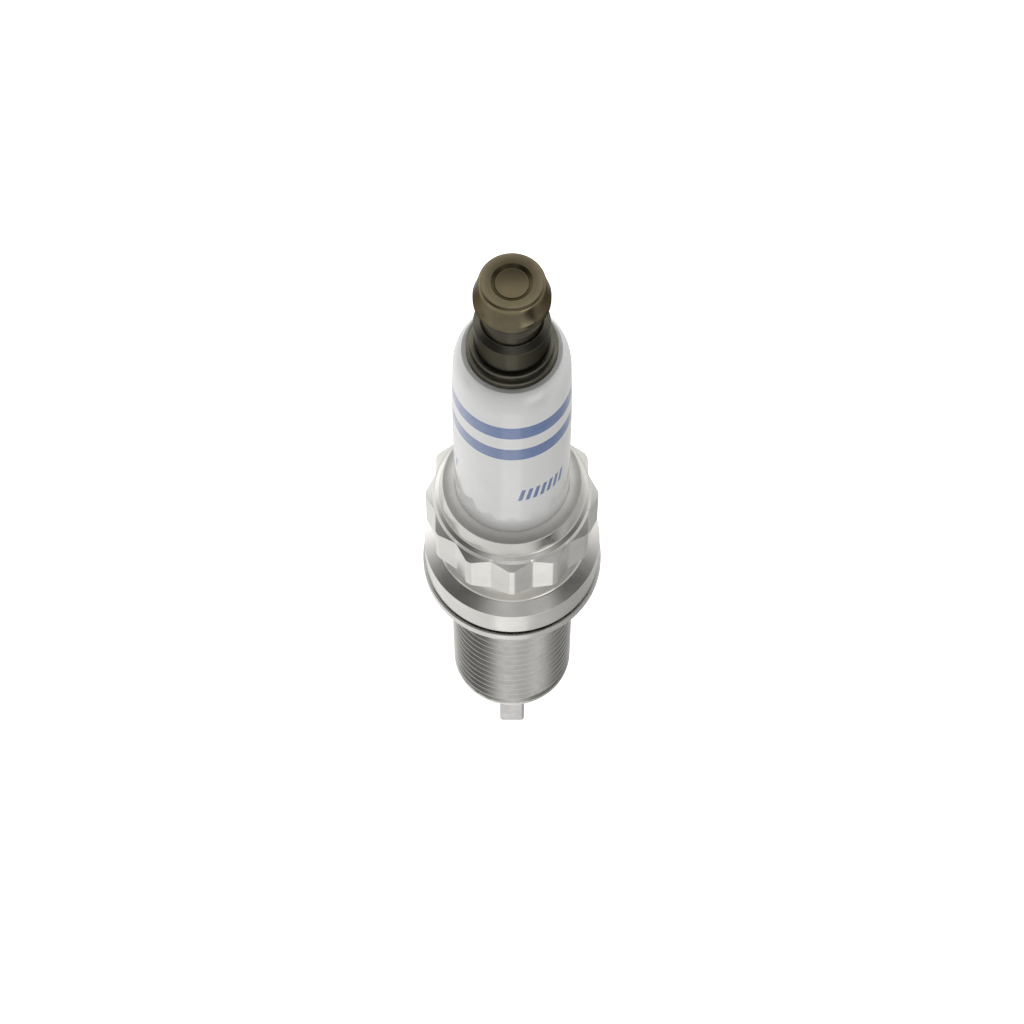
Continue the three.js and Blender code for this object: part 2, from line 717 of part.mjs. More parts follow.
add("terminal_nut", terminalNut(), olivePlate);
add("terminal_stud", terminalStud(), greyPlate);
add("insulator", insulator(), glazedCeramic);
add("shell", shell(), satinNickel);
add("sealing_gasket", sealingGasket(), satinNickel);
add("seat_washer", seatWasher(), softSteel);
add("upper_glass_seal", upperGlassSeal(), sealGlass);
add("resistor", resistor(), carbonGlass);
add("lower_glass_seal", lowerGlassSeal(), sealGlass);
add("centre_electrode", centreElectrode(), nickelAlloy);
add("centre_electrode_core", centreElectrodeCore(), copper);
add("centre_tip", centreTip(), nobleMetal);
add("ground_electrode", groundElectrode(), nickelAlloy);
add("ground_electrode_core", groundElectrodeCore(), copper);
add("ground_tip", groundTip(), nobleMetal);

export default plug;
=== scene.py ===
"""Looks of the spark plug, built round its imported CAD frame.

Outlines are in millimetres in the frame's own axes and are scaled to metres when a mesh is made.
Most heights are taken from the CAD nodes' boxes; radii are given here and follow the CAD's steps.
"""

import math

import bmesh
import bpy
import numpy as np
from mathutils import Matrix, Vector


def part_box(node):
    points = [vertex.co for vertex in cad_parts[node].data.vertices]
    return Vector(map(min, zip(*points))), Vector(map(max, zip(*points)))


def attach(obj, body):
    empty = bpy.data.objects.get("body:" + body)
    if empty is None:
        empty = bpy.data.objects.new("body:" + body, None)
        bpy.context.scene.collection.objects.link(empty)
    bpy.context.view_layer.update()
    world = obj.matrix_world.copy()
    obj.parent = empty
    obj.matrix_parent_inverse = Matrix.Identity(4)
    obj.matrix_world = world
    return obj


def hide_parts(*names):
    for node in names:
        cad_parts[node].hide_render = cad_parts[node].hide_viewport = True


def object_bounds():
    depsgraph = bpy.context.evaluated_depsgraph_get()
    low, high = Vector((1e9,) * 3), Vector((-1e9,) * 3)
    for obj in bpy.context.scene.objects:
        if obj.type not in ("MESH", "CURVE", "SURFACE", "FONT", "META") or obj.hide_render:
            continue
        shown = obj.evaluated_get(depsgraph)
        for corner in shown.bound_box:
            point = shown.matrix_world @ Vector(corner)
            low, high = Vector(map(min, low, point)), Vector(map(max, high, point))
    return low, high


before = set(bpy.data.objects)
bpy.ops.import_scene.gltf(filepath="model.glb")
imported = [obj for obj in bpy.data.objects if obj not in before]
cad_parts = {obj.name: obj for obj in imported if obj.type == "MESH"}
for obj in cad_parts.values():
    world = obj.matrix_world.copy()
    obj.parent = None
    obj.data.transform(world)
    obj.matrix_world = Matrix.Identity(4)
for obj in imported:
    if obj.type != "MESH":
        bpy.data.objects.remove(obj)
cad_low, cad_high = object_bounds()

MM = 0.001
TURN = 2 * math.pi
STEPS = 192  # columns round a turned piece
FINE_STEPS = 96  # columns round a piece under 4 mm across
WELD = 1e-7  # metres within which points are one point
SHARP = math.radians(34)  # edges sharper than this are shaded as edges
THREAD_DEPTH = 0.6134  # of the pitch
ROOT_HALF, CREST_HALF = 0.125, 0.035  # half widths of a thread's flats, of the pitch


# ---------------------------------------------------------------- frame heights


def span(node):
    """Lowest and highest z of a CAD node, in mm."""
    low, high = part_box(node)
    return low.z / MM, high.z / MM


def radius(node):
    """Largest half width of a CAD node across X, in mm."""
    low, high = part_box(node)
    return (high.x - low.x) / 2 / MM


NUT_BOTTOM, NUT_TOP = span("terminal_nut")
STUD_BOTTOM, STUD_END = span("terminal_stud")
NOSE_END, CERAMIC_TOP = span("insulator")
SHELL_END, LIP_TOP = span("shell")
LIP_EDGE = LIP_TOP - 0.27  # outer edge of the folded lip
GASKET_FACE, GASKET_TOP = span("sealing_gasket")
ROD_END, ROD_TOP = span("centre_electrode")
PIN_END, PIN_TOP = span("centre_tip")
STRAP_LOW = span("ground_electrode")[0]
DISC_BOTTOM, DISC_TOP = span("ground_tip")


# ---------------------------------------------------------------- mesh making


def rounded(points, closed=False, steps=4):
    """An outline of (r, z) or (r, z, corner radius) points, with its corners turned to small curves.

    A support point beside each curve keeps the shading of the flats next to it flat.
    """
    count = len(points)
    made = []
    for i, point in enumerate(points):
        here = np.array(point[:2], float)
        end_point = not closed and i in (0, count - 1)
        if len(point) < 3 or end_point:
            made.append(here)
            continue
        back = np.array(points[i - 1][:2], float) - here
        ahead = np.array(points[(i + 1) % count][:2], float) - here
        back_length, ahead_length = np.linalg.norm(back), np.linalg.norm(ahead)
        back, ahead = back / back_length, ahead / ahead_length
        half_angle = math.acos(float(np.clip(back @ ahead, -0.9999, 0.9999))) / 2
        reach = min(point[2] / math.tan(half_angle), 0.42 * back_length, 0.42 * ahead_length)
        made.append(here + back * reach * 1.15)
        for k in range(steps + 1):
            t = k / steps
            made.append(here + back * reach * (1 - t) ** 2 + ahead * reach * t**2)
        made.append(here + ahead * reach * 1.15)
    return np.array(made)


def bow(start, pull, end, steps=10):
    """Points of a quadratic curve between two outline points, pulled towards a third."""
    t = np.linspace(0, 1, steps + 1)[:, None]
    start, pull, end = (np.array(p, float) for p in (start, pull, end))
    return [tuple(p) for p in start * (1 - t) ** 2 + 2 * pull * t * (1 - t) + end * t**2]


def columns(steps):
    return np.linspace(0, TURN, steps + 1)


def turned_rows(outline, angles):
    """Rings of points for a turned outline: an array of rows, columns and x, y, z in mm."""
    outline = np.asarray(outline, float)
    r, z = outline[:, :1], outline[:, 1:2]
    return np.stack([r * np.cos(angles), r * np.sin(angles), z + 0 * angles], -1)


def thread_rows(crest_r, pitch, bottom, top, angles, limit, least=None, phase=0.0):
    """Rings of points of a right-hand thread, held between two flat planes.

    Rows follow the helix, so the crest is a true edge. limit(z) is the largest radius at a height
    and least(z) the smallest, for a plain band at the lower end. phase lifts the ridges, in mm.
    """
    root_r = crest_r - THREAD_DEPTH * pitch
    ridge = rounded(
        [
            (root_r, 0),
            (root_r, ROOT_HALF * pitch, 0.12 * pitch),
            (crest_r, (0.5 - CREST_HALF) * pitch, 0.05 * pitch),
            (crest_r, (0.5 + CREST_HALF) * pitch, 0.05 * pitch),
            (root_r, (1 - ROOT_HALF) * pitch, 0.12 * pitch),
            (root_r, pitch),
        ],
        steps=3,
    )
    turns = math.ceil((top - bottom) / pitch) + 2
    heights = np.concatenate([ridge[:-1, 1] + pitch * turn for turn in range(-3, turns)])
    if least:
        heights = np.union1d(heights, np.arange(-pitch - phase, pitch, 0.05))
    lift = pitch * angles / TURN - ROOT_HALF * pitch + phase
    z = np.clip(bottom + heights[:, None] + lift, bottom, top)
    r = np.interp(np.mod(z - bottom - lift, pitch), ridge[:, 1], ridge[:, 0])
    if least:
        r = np.maximum(r, least(z))
    r = np.minimum(r, limit(z))
    return np.stack([r * np.cos(angles), r * np.sin(angles), z], -1)


def made_piece(name, rows, closed=False):
    """An object from rows of points whose first and last columns coincide."""
    n, m = rows.shape[:2]
    index = np.arange(n * m).reshape(n, m)
    upper = np.roll(index, -1, axis=0)
    if not closed:
        index, upper = index[:-1], upper[:-1]
    quads = np.stack([index[:, :-1], index[:, 1:], upper[:, 1:], upper[:, :-1]], -1)
    mesh = bpy.data.meshes.new(name)
    mesh.from_pydata((rows.reshape(-1, 3) * MM).tolist(), [], quads.reshape(-1, 4).tolist())
    work = bmesh.new()
    work.from_mesh(mesh)
    bmesh.ops.remove_doubles(work, verts=work.verts, dist=WELD)
    bmesh.ops.recalc_face_normals(work, faces=work.faces)
    work.to_mesh(mesh)
    work.free()
    mesh.shade_smooth()
    mesh.set_sharp_from_angle(angle=SHARP)
    made = bpy.data.objects.new(name, mesh)
    bpy.context.scene.collection.objects.link(made)
    return made


def turned(name, outline, steps=STEPS, closed=False):
    return made_piece(name, turned_rows(outline, columns(steps)), closed)


def finish_piece(piece, body, node, material):
    """Gives a piece its body, the CAD node it stands for and its material."""
    piece.data.materials.append(material)
    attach(piece, body)
    if node:
        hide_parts(node)
    return piece


# ---------------------------------------------------------------- materials


class Paint:
    """A node material: the shader, and short ways to make the nodes that feed it."""

    def __init__(self, name, **sockets):
        self.material = bpy.data.materials.new(name)
        self.material.use_nodes = True
        self.tree = self.material.node_tree
        self.shader = self.tree.nodes["Principled BSDF"]
        for socket, value in sockets.items():
            self.shader.inputs[socket.replace("_", " ")].default_value = value
        place = self.tree.nodes.new("ShaderNodeTexCoord")
        scale = self.tree.nodes.new("ShaderNodeVectorMath")
        scale.operation = "SCALE"
        scale.inputs["Scale"].default_value = 1 / MM
        self.tree.links.new(place.outputs["Object"], scale.inputs[0])
        self.place = scale.outputs[0]  # position in mm
        split = self.tree.nodes.new("ShaderNodeSeparateXYZ")
        self.tree.links.new(self.place, split.inputs[0])
        self.x, self.y, self.z = split.outputs
        self.r = self.math("SQRT", self.math("ADD", self.square(self.x), self.square(self.y)))
        self.angle = self.math("ARCTAN2", self.y, self.x)

    def feed(self, socket, value):
        if isinstance(value, bpy.types.NodeSocket):
            self.tree.links.new(value, socket)
        else:
            socket.default_value = value

    def math(self, operation, *values, clamp=False):
        node = self.tree.nodes.new("ShaderNodeMath")
        node.operation = operation
        node.use_clamp = clamp
        for socket, value in zip(node.inputs, values):
            self.feed(socket, value)
        return node.outputs[0]

    def square(self, value):
        return self.math("MULTIPLY", value, value)

    def vector(self, x, y, z):
        node = self.tree.nodes.new("ShaderNodeCombineXYZ")
        for socket, value in zip(node.inputs, (x, y, z)):
            self.feed(socket, value)
        return node.outputs[0]

    def noise(self, scale, detail=3.0, at=None):
        """Fractal noise about 0.5; scale is in features per mm unless another vector is given."""
        node = self.tree.nodes.new("ShaderNodeTexNoise")
        node.inputs["Scale"].default_value = scale
        node.inputs["Detail"].default_value = detail
        self.feed(node.inputs["Vector"], self.place if at is None else at)
        return node.outputs["Fac"]

    def rings(self, per_mm):
        """Noise that runs round the axis, like the marks of a turning tool."""
        across = self.math("MULTIPLY", self.r, per_mm)
        along = self.math("MULTIPLY", self.z, per_mm)
        return self.noise(1.0, 2.0, self.vector(across, along, self.math("COSINE", self.angle)))

    def ramp(self, value, low, high, low_out=0.0, high_out=1.0):
        """A smooth step from low_out to high_out as value goes from low to high."""
        node = self.tree.nodes.new("ShaderNodeMapRange")
        node.interpolation_type = "SMOOTHSTEP"
        sockets = ("Value", "From Min", "From Max", "To Min", "To Max")
        for socket, given in zip(sockets, (value, low, high, low_out, high_out)):
            self.feed(node.inputs[socket], given)
        return node.outputs["Result"]

    def band(self, value, low, high, soft):
        """1 where value lies between low and high, with edges softened over a width."""
        inside = self.ramp(value, low - soft, low + soft)
        beyond = self.ramp(value, high - soft, high + soft)
        return self.math("SUBTRACT", inside, beyond, clamp=True)

    def mix(self, share, first, second):
        node = self.tree.nodes.new("ShaderNodeMix")
        node.data_type = "RGBA"
        self.feed(node.inputs["Factor"], share)
        for socket, value in zip((node.inputs["A"], node.inputs["B"]), (first, second)):
            self.feed(socket, (*value, 1) if isinstance(value, tuple) else value)
        return node.outputs["Result"]

    def colour(self, value):
        self.feed(self.shader.inputs["Base Color"], value)

    def socket_colour(self):
        return self.shader.inputs["Base Color"].links[0].from_socket

    def roughness(self, value):
        self.feed(self.shader.inputs["Roughness"], value)

    def bump(self, height, depth_mm, under=None):
        """Adds a relief of the given depth to the surface; under is an earlier relief."""
        node = self.tree.nodes.new("ShaderNodeBump")
        node.inputs["Distance"].default_value = depth_mm * MM
        self.feed(node.inputs["Height"], height)
        if under is not None:
            self.tree.links.new(under, node.inputs["Normal"])
        self.tree.links.new(node.outputs["Normal"], self.shader.inputs["Normal"])
        return node.outputs["Normal"]


def turned_metal(name, colour, dull, roughness, groove_mm=0.0006, grain_mm=0.0004):
    """Plated and turned metal: clouded tone, varied gloss, tool marks and a fine plating grain."""
    paint = Paint(name, Metallic=1.0)
    clouds = paint.noise(0.35, 4.0)
    paint.colour(paint.mix(paint.ramp(clouds, 0.35, 0.7), colour, dull))
    smudge = paint.noise(1.1, 3.0)
    paint.roughness(paint.ramp(smudge, 0.3, 0.75, roughness - 0.04, roughness + 0.05))
    grooves = paint.bump(paint.rings(14.0), groove_mm)
    paint.bump(paint.noise(22.0, 2.0), grain_mm, grooves)
    return paint


def nickel_paint():
    """Satin nickel, with a matt top on the folded lip.

    The lip's tone, lighter inside and darker outside, is painted shade, chosen to match the photo's
    shade.
    """
    paint = turned_metal("satin_nickel", (0.665, 0.655, 0.63), (0.615, 0.605, 0.58), 0.2)
    plated = paint.socket_colour()
    polish = paint.shader.inputs["Roughness"].links[0].from_socket
    on_lip = paint.ramp(paint.z, LIP_EDGE - 0.03, LIP_EDGE + 0.03)
    # painted shade: the lip's top is painted lighter inside and darker outside
    lip_painted_shade = paint.mix(paint.ramp(paint.r, 5.3, 6.2), (0.86, 0.85, 0.83), (0.54, 0.53, 0.51))
    paint.colour(paint.mix(on_lip, plated, lip_painted_shade))
    paint.roughness(paint.math("MULTIPLY_ADD", on_lip, 0.5, polish))
    return paint.material


def gasket_paint():
    return turned_metal("gasket_nickel", (0.66, 0.65, 0.63), (0.58, 0.57, 0.55), 0.25).material


def terminal_paint():
    """Olive plating with a lighter painted highlight on the crown's edge, and darker and greyer on
    the neck and collar.

    The dark tone in and round the crown's hole is painted shade, chosen to match the photo's shade.
    """
    olive, dull_olive = (0.17, 0.147, 0.098), (0.125, 0.107, 0.068)
    paint = turned_metal("olive_plate", olive, dull_olive, 0.2, 0.0004, 0.0002)
    head = paint.socket_colour()
    # painted highlight: the crown's top edge is painted a lighter olive
    drift = paint.math("MULTIPLY_ADD", paint.noise(0.8, 3.0), 0.2, paint.z)
    edge = paint.band(drift, NUT_TOP - 0.35, NUT_TOP + 0.05, 0.12)
    below = paint.ramp(paint.z, NUT_TOP - 2.85, NUT_TOP - 2.5, 1.0, 0.0)
    tone = paint.mix(paint.math("MULTIPLY", edge, 0.45), head, (0.25, 0.21, 0.12))
    # painted shade: the crown's hole and the ring round it are painted dark
    hole_painted_shade = paint.ramp(paint.r, 1.66, 1.82, 0.9, 0.0)
    hole_rim_painted_shade = paint.ramp(paint.r, 1.9, 2.5, 0.45, 0.0)
    tone = paint.mix(paint.math("MAXIMUM", hole_painted_shade, hole_rim_painted_shade), tone, (0.045, 0.038, 0.02))
    paint.colour(paint.mix(below, tone, (0.09, 0.085, 0.068)))
    paint.shader.inputs["Specular Tint"].default_value = (0.36, 0.355, 0.35, 1)
    return paint.material


def stud_paint():
    """Dark plating on the flange rings, olive on the end that shows in the crown."""
    paint = turned_metal("dark_plate", (0.175, 0.167, 0.133), (0.125, 0.12, 0.096), 0.3)
    rings = paint.socket_colour()
    above = paint.ramp(paint.z, STUD_END - 1.3, STUD_END - 1.0)
    paint.colour(paint.mix(above, rings, (0.13, 0.108, 0.066)))
    paint.shader.inputs["Specular Tint"].default_value = (0.4, 0.4, 0.4, 1)
    return paint.material


def alloy_paint():
    """Drawn nickel alloy with a faint heat tint towards the weld."""
    paint = Paint("electrode_alloy", Metallic=1.0)
    clouds = paint.noise(0.8, 4.0)
    plain = paint.mix(paint.ramp(clouds, 0.3, 0.7), (0.59, 0.575, 0.57), (0.52, 0.505, 0.50))
    tint = paint.ramp(paint.z, SHELL_END - 1.4, SHELL_END - 0.1, 0.0, 0.35)
    paint.colour(paint.mix(tint, plain, (0.60, 0.52, 0.42)))
    paint.roughness(paint.ramp(paint.noise(3.0, 3.0), 0.3, 0.7, 0.3, 0.42))
    drawn = paint.noise(1.0, 2.0, paint.vector(paint.math("MULTIPLY", paint.x, 30.0), 0.0, 0.0))
    lines = paint.bump(drawn, 0.0006)
    paint.bump(paint.noise(18.0, 2.0), 0.0005, lines)
    return paint.material


def noble_paint():
    return turned_metal("noble_metal", (0.80, 0.80, 0.79), (0.70, 0.70, 0.70), 0.22).material


def copper_paint():
    return turned_metal("copper_core", (0.78, 0.42, 0.26), (0.62, 0.33, 0.2), 0.3).material


def soft_steel_paint():
    return turned_metal("soft_steel", (0.5, 0.49, 0.47), (0.4, 0.39, 0.38), 0.4).material


def seal_paint(name, colour, fleck):
    """Filled glass: dark, with fine flecks of its filler."""
    paint = Paint(name, Roughness=0.4)
    flecks = paint.ramp(paint.noise(9.0, 2.0), 0.55, 0.7)
    paint.colour(paint.mix(flecks, colour, fleck))
    paint.roughness(paint.ramp(paint.noise(4.0, 3.0), 0.3, 0.7, 0.3, 0.6))
    paint.bump(paint.noise(12.0, 3.0), 0.002)
    return paint.material


BAND_HEIGHTS = ((35.8, 37.7), (32.0, 33.9))
MARK_ROWS = ((-1.45, 7), (-3.63, 7))  # angle where a row starts, and its number of bars
MARK_MIDDLE, MARK_HEIGHT = 25.0, 2.0
MARK_STEP = math.radians(7.5)
MARK_LEAN = 0.035  # radians round the axis for each mm of height
WRAP_MARGIN = 0.2  # radians left free before a row, so that its first bar is whole


def printed(paint):
    """Share of the surface that carries the blue print: two bands and two rows of plain bars."""
    drift = paint.math("SUBTRACT", paint.noise(5.0, 2.0), 0.5)
    edge = paint.math("MULTIPLY_ADD", drift, 0.05, paint.z)
    found = [paint.band(edge, low, high, 0.03) for low, high in BAND_HEIGHTS]
    lean = paint.math("MULTIPLY_ADD", paint.z, -MARK_LEAN, paint.angle)
    low, high = MARK_MIDDLE - MARK_HEIGHT / 2, MARK_MIDDLE + MARK_HEIGHT / 2
    for start, count in MARK_ROWS:
        begin = start - MARK_LEAN * MARK_MIDDLE
        turn = paint.math("WRAP", lean, begin + TURN - WRAP_MARGIN, begin - WRAP_MARGIN)
        place = paint.math("DIVIDE", paint.math("SUBTRACT", turn, begin), MARK_STEP)
        bars = paint.band(paint.math("FRACT", place), 0.1, 0.66, 0.02)
        row = paint.band(place, 0.0, float(count), 0.01)
        height = paint.band(edge, low, high, 0.03)
        found.append(paint.math("MULTIPLY", paint.math("MULTIPLY", bars, row), height))
    total = found[0]
    for share in found[1:]:
        total = paint.math("MAXIMUM", total, share)
    return total


def ceramic_paint():
    """Clear glaze over white alumina, with the print fired under the gloss.

    The grey foot over the lip is painted shade, chosen to match the photo's shade.
    """
    paint = Paint("glazed_insulator", Coat_Weight=1.0, Coat_Roughness=0.05, Roughness=0.4)
    clouds = paint.ramp(paint.noise(0.25, 4.0), 0.3, 0.7)
    body = paint.mix(clouds, (0.80, 0.805, 0.81), (0.76, 0.765, 0.77))
    speck = paint.ramp(paint.noise(7.0, 2.0), 0.72, 0.8, 0.0, 0.25)
    body = paint.mix(speck, body, (0.62, 0.6, 0.57))
    tone = paint.ramp(paint.noise(2.0, 3.0), 0.3, 0.7)
    print_blue = paint.mix(tone, (0.03, 0.11, 0.35), (0.045, 0.13, 0.38))
    ink = printed(paint)
    # painted shade: the ceramic is painted grey next to the lip, fading out upwards; the nose below
    # is left white
    foot_painted_shade = paint.ramp(paint.z, LIP_TOP - 0.2, LIP_TOP + 2.4, 0.8, 0.0)
    foot = paint.math("MULTIPLY", foot_painted_shade, paint.ramp(paint.z, LIP_TOP - 3, LIP_TOP - 2))
    body = paint.mix(foot, body, (0.42, 0.415, 0.405))
    paint.colour(paint.mix(ink, body, print_blue))
    paint.roughness(paint.ramp(paint.noise(1.4, 3.0), 0.3, 0.7, 0.3, 0.42))
    orange_peel = paint.bump(paint.noise(0.9, 2.0), 0.004)
    paint.bump(ink, 0.003, orange_peel)
    return paint.material


# ---------------------------------------------------------------- terminal


def terminal_nut():
    """Bullet head, waisted neck and collar, with the plain bore and the hole in the crown."""
    collar, neck, head = 3.2, 2.65, 3.2
    mouth, throat, undercut, bore = 1.74, 1.41, 1.54, 2.05
    collar_top = NUT_BOTTOM + 3.0
    head_bottom = NUT_TOP - 2.8
    shoulder = NUT_TOP - 2.2
    crown_r, crown_z, rim = 2.78, NUT_TOP - 0.4, 2.45
    outline = [
        (bore + 0.25, NUT_BOTTOM, 0.03),
        (collar, NUT_BOTTOM, 0.12),
        (collar, collar_top, 0.08),
        (neck, collar_top + 0.5, 0.06),
        (neck, collar_top + 1.8, 0.06),
        (neck - 0.2, collar_top + 2.1, 0.1),
        (neck - 0.2, head_bottom - 0.75, 0.2),
        (head - 0.13, head_bottom - 0.2, 0.06),
        (head, head_bottom, 0.1),
        *bow((head, shoulder), (head - 0.25, shoulder + 0.8), (crown_r, crown_z), 10),
        *bow((crown_r - 0.02, crown_z + 0.08), (crown_r - 0.06, NUT_TOP), (rim, NUT_TOP), 8),
        (mouth, NUT_TOP - 0.1, 0.12),
        (throat, NUT_TOP - 0.27, 0.02),
        (throat, NUT_TOP - 0.6),
        (undercut, NUT_TOP - 1.0, 0.03),
        (bore, NUT_TOP - 1.3),
        (bore, NUT_BOTTOM + 0.25, 0.03),
    ]
    piece = turned("bullet_terminal", rounded(outline, closed=True), closed=True)
    finish_piece(piece, "nut", "terminal_nut", terminal_paint())


def terminal_stud():
    """Ribbed end in the glass, two flange rings, M4 thread and the pilot end seen in the crown."""
    shank, lower_ring, upper_ring, rib, pilot = 1.94, 3.88, 3.55, 1.65, 1.39
    thread_r, run_out, pitch = 1.95, 1.52, 0.7
    seal_top = span("upper_glass_seal")[1]
    thread_top = STUD_END - 1.25
    dimple = 0.4
    upper_top = CERAMIC_TOP + 1.55
    lower_top = CERAMIC_TOP + 0.8
    below = [(0, STUD_BOTTOM), (rib - 0.35, STUD_BOTTOM, 0.05)]
    for i in range(4):
        z = STUD_BOTTOM + 0.2 + i
        below += [(rib - 0.2, z, 0.03), (rib, z + 0.3, 0.05), (rib, z + 0.7, 0.05)]
    below += [
        (rib - 0.2, seal_top + 0.2, 0.05),
        (shank, seal_top + 0.4, 0.1),
        (shank, CERAMIC_TOP),
        (lower_ring, CERAMIC_TOP, 0.1),
        (lower_ring, lower_top, 0.12),
        (upper_ring - 0.14, lower_top + 0.02, 0.05),
        (upper_ring, lower_top + 0.2, 0.06),
        (upper_ring, upper_top, 0.12),
        (1.5, upper_top),
    ]
    above = [
        (pilot, thread_top + 0.02, 0.03),
        (pilot, STUD_END, 0.04),
        (0, STUD_END - dimple),
    ]
    angles = columns(FINE_STEPS)

    def limit(z):
        return np.minimum(thread_r, run_out + (thread_top - z))

    rows = np.concatenate(
        [
            turned_rows(rounded(below), angles),
            thread_rows(thread_r, pitch, upper_top, thread_top, angles, limit),
            turned_rows(rounded(above), angles),
        ]
    )
    piece = made_piece("contact_stud", rows)
    finish_piece(piece, "plug_body", "terminal_stud", stud_paint())


# ---------------------------------------------------------------- insulator

# The ceramic's steps that stand in the shell, which the shell's bore follows with a small gap.
COLUMN_R, BARREL_R, TRUNK_R, LOWER_R = 5.2, 6.2, 5.8, 4.1
COLUMN_FOOT, BARREL_TOP, BARREL_FOOT = 16.9, 15.9, 11.6
TRUNK_TOP, TRUNK_FOOT, LOWER_TOP = 10.4, 5.3, 3.9
BORE_GAP = 0.03


def insulator():
    """Rounded top, column narrowing a little upwards, hidden barrel and trunk, and the nose."""
    shoulder, crest, ring = 5.03, 4.25, 3.95
    narrow_r, narrow_from, narrow_to = 5.15, 30.4, 35.0
    nose, nose_tip, rod_bore, stud_bore = 3.3, 2.15, 1.32, 2.0
    seat_z = span("seat_washer")[1]
    top = bow((shoulder, CERAMIC_TOP - 2.8), (4.93, CERAMIC_TOP - 0.6), (crest, CERAMIC_TOP), 16)
    outline = [
        (rod_bore, NOSE_END, 0.12),
        (nose_tip, NOSE_END, 0.35),
        (nose, -10.0),
        (nose, seat_z - 0.45),
        (LOWER_R, seat_z + 0.03),
        (LOWER_R, LOWER_TOP, 0.2),
        (TRUNK_R, TRUNK_FOOT, 0.2),
        (TRUNK_R, TRUNK_TOP, 0.2),
        (BARREL_R, BARREL_FOOT, 0.2),
        (BARREL_R, BARREL_TOP, 0.2),
        (COLUMN_R, COLUMN_FOOT, 0.1),
        (COLUMN_R, LIP_EDGE + 2.5),
        (COLUMN_R, narrow_from),
        (narrow_r, narrow_to),
        *top,
        (ring, CERAMIC_TOP - 0.08, 0.1),
        (ring - 0.3, CERAMIC_TOP - 0.08, 0.05),
        (ring - 0.4, CERAMIC_TOP, 0.03),
        (2.2, CERAMIC_TOP, 0.1),
        (stud_bore, CERAMIC_TOP - 0.2),
        (stud_bore, 2.6),
        (rod_bore, 2.0),
    ]
    piece = turned("ceramic_body", rounded(outline, closed=True, steps=6), closed=True)
    finish_piece(piece, "plug_body", "insulator", ceramic_paint())


# ---------------------------------------------------------------- shell

LIP_BASE_R = 7.06
WAIST_R = 7.0
HALF_FLATS = 7.0  # the drive is 14 mm across flats
COLLAR_R = 7.28  # inner edge of the drive's upper chamfer
DRIVE_TOP = LIP_EDGE - 2.36
DRIVE_BOTTOM = LIP_EDGE - 8.14
CORNER_R = 7.94  # the points are turned down to this
LOWER_SLOPE = math.tan(math.radians(35))
UPPER_SLOPE = math.tan(math.radians(25))
POINT_ANGLE = 30  # degrees from one point of the drive to the next


def drive_angles():
    """Column angles that land on every point, notch and turned edge of the 12-point drive."""
    edge = POINT_ANGLE - math.degrees(math.acos(HALF_FLATS / CORNER_R))
    by_point = [0, edge / 2, edge - 0.3, edge, edge + 0.3]
    on_flat = list(np.linspace(3.4, 13.6, 8))
    by_notch = [14.4, 14.8]
    half = by_point + on_flat + by_notch
    sector = half + [POINT_ANGLE / 2] + [POINT_ANGLE - a for a in reversed(half[1:])]
    angles = [POINT_ANGLE * i + a for i in range(12) for a in sector] + [360]
    return np.radians(np.array(angles))


def soft_max(a, b, width):
    return 0.5 * (a + b + np.sqrt((a - b) ** 2 + width**2))


def drive_radius(angles):
    """Radius of two crossed hexagons, 14 mm across flats, with the points turned down."""
    step = math.radians(POINT_ANGLE)
    from_point = np.abs(np.mod(angles + step / 2, step) - step / 2)
    own = HALF_FLATS / np.cos(step - from_point)
    other = HALF_FLATS / np.cos(from_point)
    star = soft_max(own, other, 0.04)
    return -soft_max(-star, -CORNER_R + 0 * star, 0.03)


def drive_rows(angles):
    """Rings of the drive: both chamfers, cut for each column at that column's radius."""
    rows = []
    for r, angle in zip(drive_radius(angles), angles):
        low = DRIVE_BOTTOM + (r - WAIST_R) * LOWER_SLOPE
        high = DRIVE_TOP - (r - COLLAR_R) * UPPER_SLOPE
        collar = min(COLLAR_R, r - 0.03)
        collar_z = DRIVE_TOP - (collar - COLLAR_R) * UPPER_SLOPE
        side = rounded(
            [
                (WAIST_R, DRIVE_BOTTOM - 0.4),
                (WAIST_R, DRIVE_BOTTOM, 0.25),
                (r, low, 0.08),
                (r, high, 0.06),
                (collar, collar_z, 0.05),
                (LIP_BASE_R + 0.05, DRIVE_TOP + 0.22),
            ]
        )
        rows.append(turned_rows(side, np.array([angle]))[:, 0])
    return np.stack(rows, 1)


